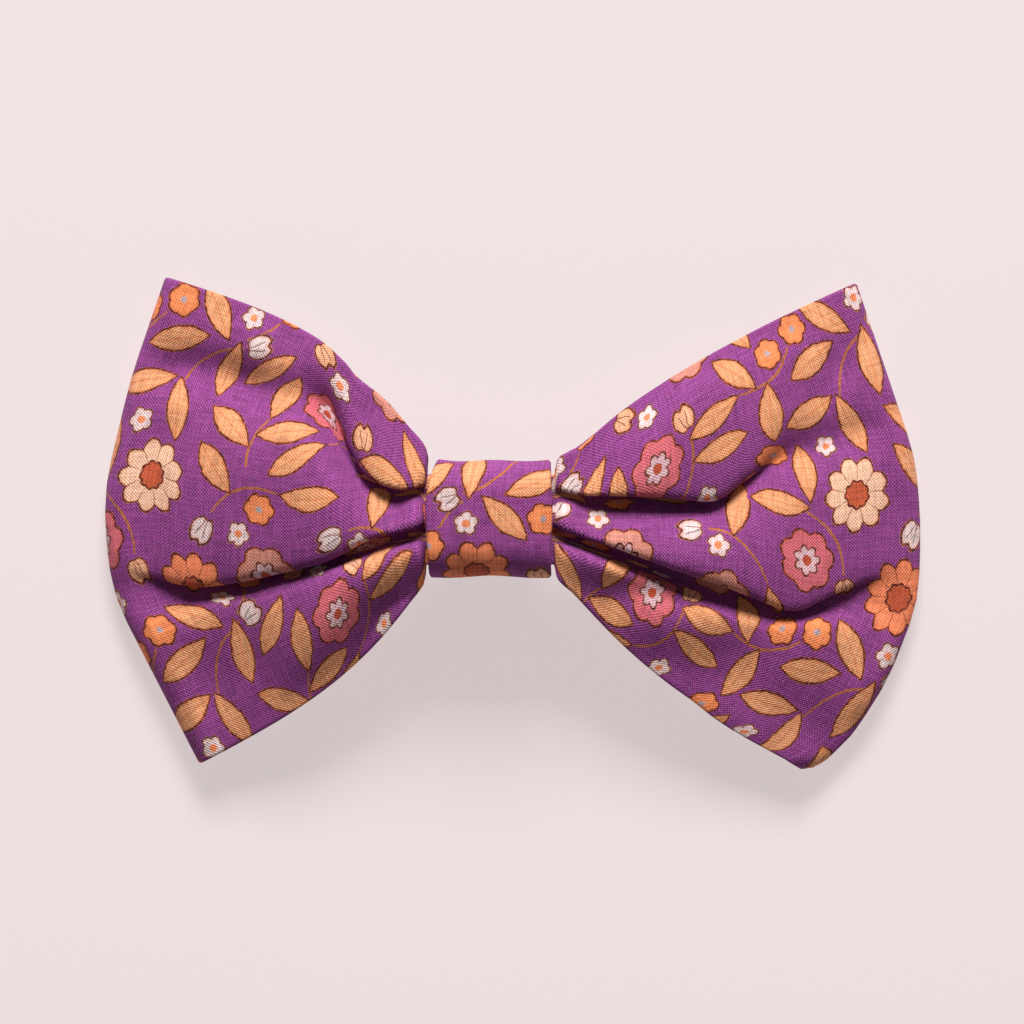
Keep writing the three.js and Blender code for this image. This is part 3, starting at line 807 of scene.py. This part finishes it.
PRINT_SCALE = 0.9  # mm of the drawn repeat to a mm of cloth
matt_cotton = {
    "Roughness": 0.85,
    "Specular IOR Level": 0.2,
    "Sheen Weight": 0.08,
    "Sheen Roughness": 0.45,
    "Sheen Tint": linear("e9c6ee"),
}
cotton, m, surface = new_material("printed poplin", matt_cotton)
ways = m.add("Attribute", attribute_name="cloth").outputs["Vector"]
ink = m.add("Group", node_tree=p.tree)
threads = m.add("Group", node_tree=w.tree)
m.put(ink.inputs[0], m.vector("MULTIPLY", ways, (PRINT_SCALE, PRINT_SCALE, 0.0)))
m.put(threads.inputs[0], ways)
# each thread takes the ink a little lighter or darker, and the gaps between threads are in shadow,
# less so under the thicker ink of the motifs
tone = m.math("MULTIPLY_ADD", m.step(threads.outputs["Thread"], 0.3, 0.7), 0.62, 0.84)
depth = m.math("MULTIPLY_ADD", ink.outputs["Covered"], -0.5, 1.0)
shaded = m.math("SUBTRACT", tone, m.math("MULTIPLY", threads.outputs["Gap"], depth))
colour = m.vector("SCALE", ink.outputs["Ink"])
m.put(colour.node.inputs["Scale"], shaded)
# pale specks on the crowns, fewer on the motifs: partly unprinted fibre, partly a painted highlight
# where the crowns catch the light
bare_fibre_and_highlight = m.math("MULTIPLY_ADD", ink.outputs["Covered"], -0.3, 0.5)
bare_fibre_and_highlight = m.math("MULTIPLY", threads.outputs["Fuzz"], bare_fibre_and_highlight)
colour = m.blend(bare_fibre_and_highlight, colour, linear("e6c0dc"))
m.put(surface["Base Color"], colour)
m.bump(surface, threads.outputs["Height"], 0.8, 0.00009)

# where the pleats lie and how deep they are, row by row
right_and_left = [right_wing["folds"], left_wing["folds"]]
line_rows, deep_rows = [
    [
        np.where(row_right, *[through(folds[k], name, row_s) for folds in right_and_left])
        for k in (0, 1)
    ]
    for name in ("line", "depth")
]
closed, run = sheet_sides(strip, CLOTH)
row_step = np.median(np.linalg.norm(np.diff(strip, axis=0), axis=-1), axis=1)
held_rows = 1 - ease((row_s - 0.42) / 0.4)
u, v = cloth_ways(run, line_rows, deep_rows, held_rows, row_step)
upper_half = np.arange(v.shape[1]) < v.shape[1] // 2
inner_v = np.where(upper_half, STRIP_WIDTH, -STRIP_WIDTH) - v
layer = np.stack([both_faces(u, u), both_faces(v, inner_v)], -1)
bow_faces = sheet_faces(*closed.shape[:2])
bow = make_piece("pleated_bow", closed + TO_FRAME, bow_faces, cotton, layer)
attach(bow, "root")
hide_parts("bow")

# The band
# A narrow tube of the same poplin, pressed flat and wrapped once round the gathered middle. Its
# outer end is turned under and laps over its inner end behind the bow.
WRAP = 0.85  # thickness of the pressed tube
WRAP_HALF_Y, WRAP_HALF_Z = 7.72, 5.85  # from the middle of the bow to the middle of the wall
CORNER = 4.4  # radius of the bends
LAP = 7.0  # length of the lap
LAP_STEP = 1.25  # how much lower its outer layer lies
BAND_CUT = (17.3, 3.0)  # where in the print the band is cut, in mm


def arc(centre_y, centre_z, radius, start, end, count):
    """Points on an arc about a centre, between two angles in degrees."""
    a = np.radians(np.linspace(start, end, count))
    return np.stack([centre_y + radius * np.cos(a), centre_z + radius * np.sin(a)], 1)


def evenly(path, count):
    """The same path with its points at even distances."""
    far = np.concatenate([[0], np.cumsum(np.linalg.norm(np.diff(path, axis=0), axis=1))])
    at = np.linspace(0, far[-1], count)
    return np.stack([np.interp(at, far, path[:, k]) for k in range(path.shape[1])], 1), at


cy, cz = WRAP_HALF_Y - CORNER, WRAP_HALF_Z - CORNER
wrap_path = np.concatenate(
    [
        [[-LAP / 2, -WRAP_HALF_Z]],
        arc(cy, -cz, CORNER, -90, 0, 24),
        arc(cy, cz, CORNER, 0, 90, 24),
        arc(-cy, cz, CORNER, 90, 180, 24),
        arc(-cy, -cz - LAP_STEP, CORNER, 180, 270, 24),
        [[LAP / 2, -WRAP_HALF_Z - LAP_STEP]],
    ]
)
wrap_path, wrap_far = evenly(wrap_path, 190)
across = np.linspace(1, -1, 61)
across = np.sign(across) * np.abs(across) ** 0.9  # closer divisions at the turned edges
y, z = wrap_path[:, :1], wrap_path[:, 1:]
front = ease((z + 1) / 5)
lean = np.maximum(-across, 0) * lean_at(y + KNOT_Y)
waist = 1 - 0.2 * (1 - across**2) / WRAP_HALF_Y
# the front swells a little between its corners; two soft upright creases and a few small puckers
# at its top edge come from the pull of the wrap
crease = 0.32 * np.exp(-(((across + 0.62 + 0.02 * y) / 0.14) ** 2))
crease = crease + 0.2 * np.exp(-(((across - 0.4 + 0.015 * y) / 0.2) ** 2))
puckers = 0.12 * np.sin(9 * across + 0.7) * np.exp(-(((y - 6.2) / 2.4) ** 2))
puckers = puckers + 0.09 * np.sin(7 * across + 2.1) * np.exp(-(((y + 6.4) / 2.2) ** 2))
swell = 0.35 + 0.45 * np.exp(-(((across + 0.23) / 0.34) ** 2))
swell = swell * np.cos(np.clip(y / WRAP_HALF_Y, -1, 1) * np.pi / 2)
wrap_x = across * KNOT_W / 2 + lean + 0.1 * np.sin(0.5 * y + 1) * (across**2) * np.sign(across)
wrap_y = y * waist + 0.12 * np.sin(5 * across + 1.3) * (np.abs(y) / WRAP_HALF_Y) ** 3
wrap_z = np.where(z > 0, z * waist, z) + front * (swell - crease + puckers)
wrap = np.stack(np.broadcast_arrays(wrap_x, wrap_y, wrap_z), -1)
wrap_closed, wrap_run = sheet_sides(wrap, WRAP)
wrap_u = wrap_run - wrap_run[:, -1:] / 2
wrap_v = np.repeat(wrap_far[:, None], wrap.shape[1], 1)
first_half = np.arange(wrap.shape[1]) < wrap.shape[1] // 2
inner_u = np.where(first_half, -KNOT_W, KNOT_W) - wrap_u
wrap_layer = np.stack([both_faces(wrap_u, inner_u), both_faces(wrap_v, wrap_v)], -1) + BAND_CUT
to_knot = np.array([KNOT_X, KNOT_Y, KNOT_Z]) + TO_FRAME
wrap_faces = sheet_faces(*wrap_closed.shape[:2])
knot_wrap = make_piece("knot_wrap", wrap_closed + to_knot, wrap_faces, cotton, wrap_layer)
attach(knot_wrap, "root")
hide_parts("knot_band")

# The band's stitches
# Short slanted whip stitches of doubled sewing thread along the band's turned end, which hold it to
# the layer that it laps over behind the bow.
STITCH = 0.14  # radius of the doubled thread
LAP_PITCH = 1.52  # from stitch to stitch


def stitches(paths, radius):
    """Eight-sided threads along many short paths at once, an array of stitches by points by x, y,
    z. Each ring lies square to its path, and its radius falls as a half circle over the end rings.
    The points, the quads and the cloth coordinates: how far along a thread, and the way round."""
    sides = 8
    ahead = np.gradient(paths, axis=1)
    ahead /= np.linalg.norm(ahead, axis=-1, keepdims=True)
    sideways = np.cross(ahead, np.array([0.31, 0.9, 0.3]))
    sideways /= np.linalg.norm(sideways, axis=-1, keepdims=True)
    upright = np.cross(ahead, sideways)
    many, rings = paths.shape[:2]
    near = np.minimum(np.arange(rings), np.arange(rings)[::-1]) / 2
    girth = radius * np.sqrt(1 - (1 - np.clip(near, 0.12, 1)) ** 2)
    a = np.arange(sides) * 2 * np.pi / sides
    ring = np.cos(a)[:, None] * sideways[:, :, None] + np.sin(a)[:, None] * upright[:, :, None]
    points = paths[:, :, None] + ring * girth[None, :, None, None]
    i, j = np.meshgrid(np.arange(rings - 1), np.arange(sides), indexing="ij")
    k = (j + 1) % sides
    wall = np.stack([i * sides + j, i * sides + k, (i + 1) * sides + k, (i + 1) * sides + j], -1)
    cap = np.array([[0, 3, 2, 1], [0, 7, 4, 3], [4, 7, 6, 5]])
    quads = np.concatenate([wall.reshape(-1, 4), cap, (rings - 1) * sides + cap[:, ::-1]])
    quads = quads[None] + np.arange(many)[:, None, None] * rings * sides
    far = np.arange(rings)[None, :, None] * 0.3 + np.arange(many)[:, None, None] * 5.0
    layer = np.broadcast_arrays(far, a[None, None])
    return points, quads, np.stack(layer, -1)


def smooth_path(corners, count=15):
    """A round path through a few corners, by averaging evenly spaced points with those beside."""
    path = evenly(np.array(corners, float), count)[0]
    for _ in range(2):
        path[1:-1] = (path[:-2] + 2 * path[1:-1] + path[2:]) / 4
    return path


thread, m, surface = new_material("sewing thread", {"Roughness": 0.6})
far, turn, _ = m.parts(m.add("Attribute", attribute_name="cloth").outputs["Vector"])
ply = m.math("SINE", m.math("ADD", m.math("MULTIPLY", far, 9.0), m.math("MULTIPLY", turn, 2.0)))
ply = m.math("MULTIPLY_ADD", ply, 0.5, 0.5)
colour = m.blend(m.step(ply, 0.1, 0.9), linear("4a1f52"), linear("8d4f92"))
m.put(surface["Base Color"], colour)
m.bump(surface, ply, 0.7, 0.00006)

lap_y, lap_z = LAP / 2, -WRAP_HALF_Z - LAP_STEP
over_edge = smooth_path(
    [
        [-0.35, lap_y - 1.0, lap_z - WRAP / 2 - 0.02],
        [-0.1, lap_y - 0.1, lap_z - WRAP / 2 - 0.1],
        [0.1, lap_y + 0.3, lap_z + 0.1],
        [0.35, lap_y + 0.95, -WRAP_HALF_Z - WRAP / 2 - 0.02],
    ]
)
stitch_x = np.arange(-5, 6) * LAP_PITCH + 0.12 * np.sin(np.arange(11) * 2.3)
lap_paths = over_edge[None] + stitch_x[:, None, None] * np.array([1.0, 0, 0])
points, quads, layer = stitches(lap_paths, STITCH)
lap_stitches = make_piece("lap_stitches", points + to_knot, quads, thread, layer)
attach(lap_stitches, "root")

# The elastic loop
# Flat woven elastic, ribbed lengthwise, 12 mm wide and bent into a flat ring for the collar. Its
# front strand lies along the back of the band.
ELASTIC = 0.95  # its thickness
RING_Y, RING_Z, RING_W = 15.2, 7.0, 12.0
RIBS = 10.5  # from the middle of its width to an edge
ring_radius = (RING_Z - ELASTIC) / 2
straight = RING_Y / 2 - ring_radius - ELASTIC / 2
ring_path = np.concatenate(
    [arc(straight, 0, ring_radius, -90, 90, 40), arc(-straight, 0, ring_radius, 90, 270, 40)]
)
ring_path, ring_far = evenly(np.concatenate([ring_path, ring_path[:1]]), 221)
ring_path, ring_far = ring_path[:-1], ring_far[:-1]
tangent = np.roll(ring_path, -1, 0) - np.roll(ring_path, 1, 0)
tangent /= np.linalg.norm(tangent, axis=1, keepdims=True)
outward = np.stack([tangent[:, 1], -tangent[:, 0]], 1)
# the section: ribs on both faces, and round edges
share = np.linspace(-1, 1, 89)
rib = 0.06 * np.cos(np.pi * share * RIBS) ** 2
rounding = np.sqrt(1 - np.clip((np.abs(share) - 0.95) / 0.05, 0, 1) ** 2)
flat_half = (ELASTIC / 2 - 0.07 + rib) * rounding
section_x = np.concatenate([share, share[-2:0:-1]]) * RING_W / 2
section_n = np.concatenate([flat_half, -flat_half[-2:0:-1]])
ring = np.stack(
    np.broadcast_arrays(
        section_x[None],
        ring_path[:, :1] + outward[:, :1] * section_n[None],
        ring_path[:, 1:] + outward[:, 1:] * section_n[None],
    ),
    -1,
)
count, around = ring.shape[:2]
i, j = np.meshgrid(np.arange(count), np.arange(around), indexing="ij")
nxt, k = (i + 1) % count, (j + 1) % around
ring_quads = np.stack([i * around + j, nxt * around + j, nxt * around + k, i * around + k], -1)
ring_layer = np.stack(np.broadcast_arrays(ring_far[:, None], section_x[None]), -1)

matt_elastic = {"Roughness": 0.78, "Specular IOR Level": 0.3, "Sheen Weight": 0.2}
elastic, m, surface = new_material("woven elastic", matt_elastic)
along_u, across_v, _ = m.parts(m.add("Attribute", attribute_name="cloth").outputs["Vector"])
picks = m.math("SINE", m.math("MULTIPLY", along_u, 2 * math.pi / 0.55))
cords = m.math("COSINE", m.math("MULTIPLY", across_v, math.pi * RIBS / (RING_W / 2)))
knit = m.math("MULTIPLY_ADD", m.math("MULTIPLY", picks, cords), 0.5, 0.5)
lint = m.noise(m.add("TexCoord").outputs["Object"], 900.0, 3.0)[0]
lint = m.math("MULTIPLY", m.step(lint, 0.45, 0.75), 0.35)
shade = m.blend(m.step(knit, 0.15, 0.8), linear("24102f"), linear("4b2760"))
m.put(surface["Base Color"], m.blend(lint, shade, linear("7a5590")))
m.bump(surface, knit, 0.6, 0.00012)

to_ring = np.array([KNOT_X, KNOT_Y, RING_Z / 2]) + TO_FRAME
collar_ring = make_piece("collar_ring", ring + to_ring, ring_quads, elastic, ring_layer)
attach(collar_ring, "root")
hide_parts("collar_loop")

# The loop's stitches
# Whip stitches of the same thread over both edges of the elastic's front strand, up into the back
# of the band.
LOOP_PITCH = 1.2  # from stitch to stitch
from_ring = RING_Z / 2
back_of_band = KNOT_Z - WRAP_HALF_Z - LAP_STEP - WRAP / 2 - RING_Z / 2
over_elastic = smooth_path(
    [
        [RING_W / 2 - 0.9, -0.3, from_ring - ELASTIC - 0.05],
        [RING_W / 2 + 0.05, -0.1, from_ring - ELASTIC - 0.08],
        [RING_W / 2 + 0.2, 0.1, from_ring - 0.1],
        [RING_W / 2 + 0.75, 0.3, back_of_band - 0.02],
    ]
)
stitch_y = np.arange(-2, 3) * LOOP_PITCH
right_paths = over_elastic[None] + stitch_y[:, None, None] * np.array([0, 1.0, 0])
left_paths = right_paths[:, ::-1] * np.array([-1.0, 1, 1])
points, quads, layer = stitches(np.concatenate([right_paths, left_paths]), STITCH)
loop_stitches = make_piece("loop_stitches", points + to_ring, quads, thread, layer)
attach(loop_stitches, "root")

# The stage
# A sheet of pale paper under the bow tie, seen from above only, a soft key light beyond the bow's
# top edge, and the room's own even light.
PAPER = 3  # half the sheet's side, in metres
paper_corners = [(-PAPER, -PAPER, 0), (PAPER, -PAPER, 0), (PAPER, PAPER, 0), (-PAPER, PAPER, 0)]
floor_mesh = bpy.data.meshes.new("paper_ground")
floor_mesh.from_pydata(paper_corners, [], [(0, 1, 2, 3)])
glowing_paper = {
    "Base Color": linear("8f8686"),
    "Roughness": 0.95,
    "Specular IOR Level": 0.1,
    "Emission Color": linear("f2e5e5"),
    "Emission Strength": 0.67,
}
paper, m, surface = new_material("pale paper", glowing_paper)
lit = m.tree.nodes["Principled BSDF"].outputs[0]
under = m.add("NewGeometry").outputs["Backfacing"]
clear = m.add("BsdfTransparent").outputs[0]
both_sides = m.add("MixShader", {0: under, 1: lit, 2: clear}).outputs[0]
m.put(m.tree.nodes["Material Output"].inputs["Surface"], both_sides)
floor_mesh.materials.append(paper)
floor = bpy.data.objects.new("paper_ground", floor_mesh)
bpy.context.scene.collection.objects.link(floor)

world = bpy.data.worlds.new("soft room")
bpy.context.scene.world = world
world.use_nodes = True
room = world.node_tree.nodes["Background"].inputs
room["Color"].default_value = (1, 1, 1, 1)
room["Strength"].default_value = 0.1
light = bpy.data.lights.new("key softbox", "AREA")
light.shape = "SQUARE"
light.size = 0.5
light.energy = 30.5
lamp = bpy.data.objects.new("key softbox", light)
lamp.location = (0.05, 1.15, 0.9)
lamp.rotation_euler = (-lamp.location).to_track_quat("-Z", "Y").to_euler()
bpy.context.scene.collection.objects.link(lamp)
bpy.context.scene.view_settings.view_transform = "Standard"

VIEW_ACROSS = 0.1417  # metres that the picture shows from side to side, at the bow's middle height
MIDDLE_HEIGHT = 0.0105
camera = bpy.data.cameras.new("camera")
camera.lens = 200
camera.sensor_width = 36
eye = bpy.data.objects.new("camera", camera)
eye_height = MIDDLE_HEIGHT + VIEW_ACROSS * camera.lens / camera.sensor_width
eye.location = (-0.00009, 0.00155, eye_height)
bpy.context.scene.collection.objects.link(eye)
bpy.context.scene.camera = eye
